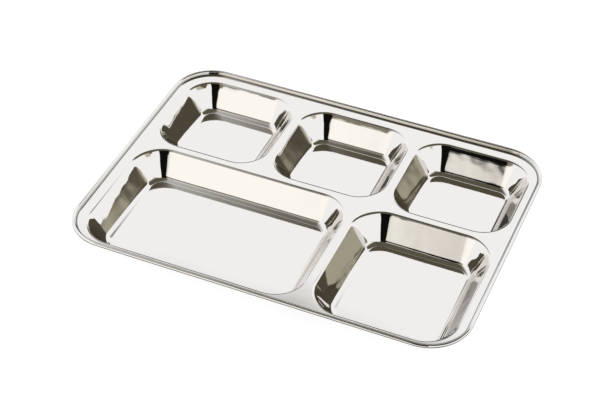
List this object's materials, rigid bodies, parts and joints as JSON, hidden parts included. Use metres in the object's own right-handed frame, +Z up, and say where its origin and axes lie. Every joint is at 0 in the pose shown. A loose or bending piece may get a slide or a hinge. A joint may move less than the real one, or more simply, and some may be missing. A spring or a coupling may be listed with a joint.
{
  "type": "compartment serving tray",
  "caption": "Rectangular serving tray pressed from polished steel, with rounded food wells sunk in a flat deck and a curled rim all round.",
  "frame": {"origin": "middle of the tray on the plane that its well floors rest on", "axes": "+X to the right along the length, +Y to the back, where the three small wells are, +Z up"},
  "size_m": [0.3568, 0.2574, 0.0273],
  "materials": {
    "polished_steel": "mirror polished stainless steel, fine buffing lines"
  },
  "bodies": {
    "root": {"deck": "polished_steel", "rolled_rim": "polished_steel", "main_well": "polished_steel", "front_right_well": "polished_steel", "back_left_well": "polished_steel", "back_middle_well": "polished_steel", "back_right_well": "polished_steel"}
  },
  "joints": []
}
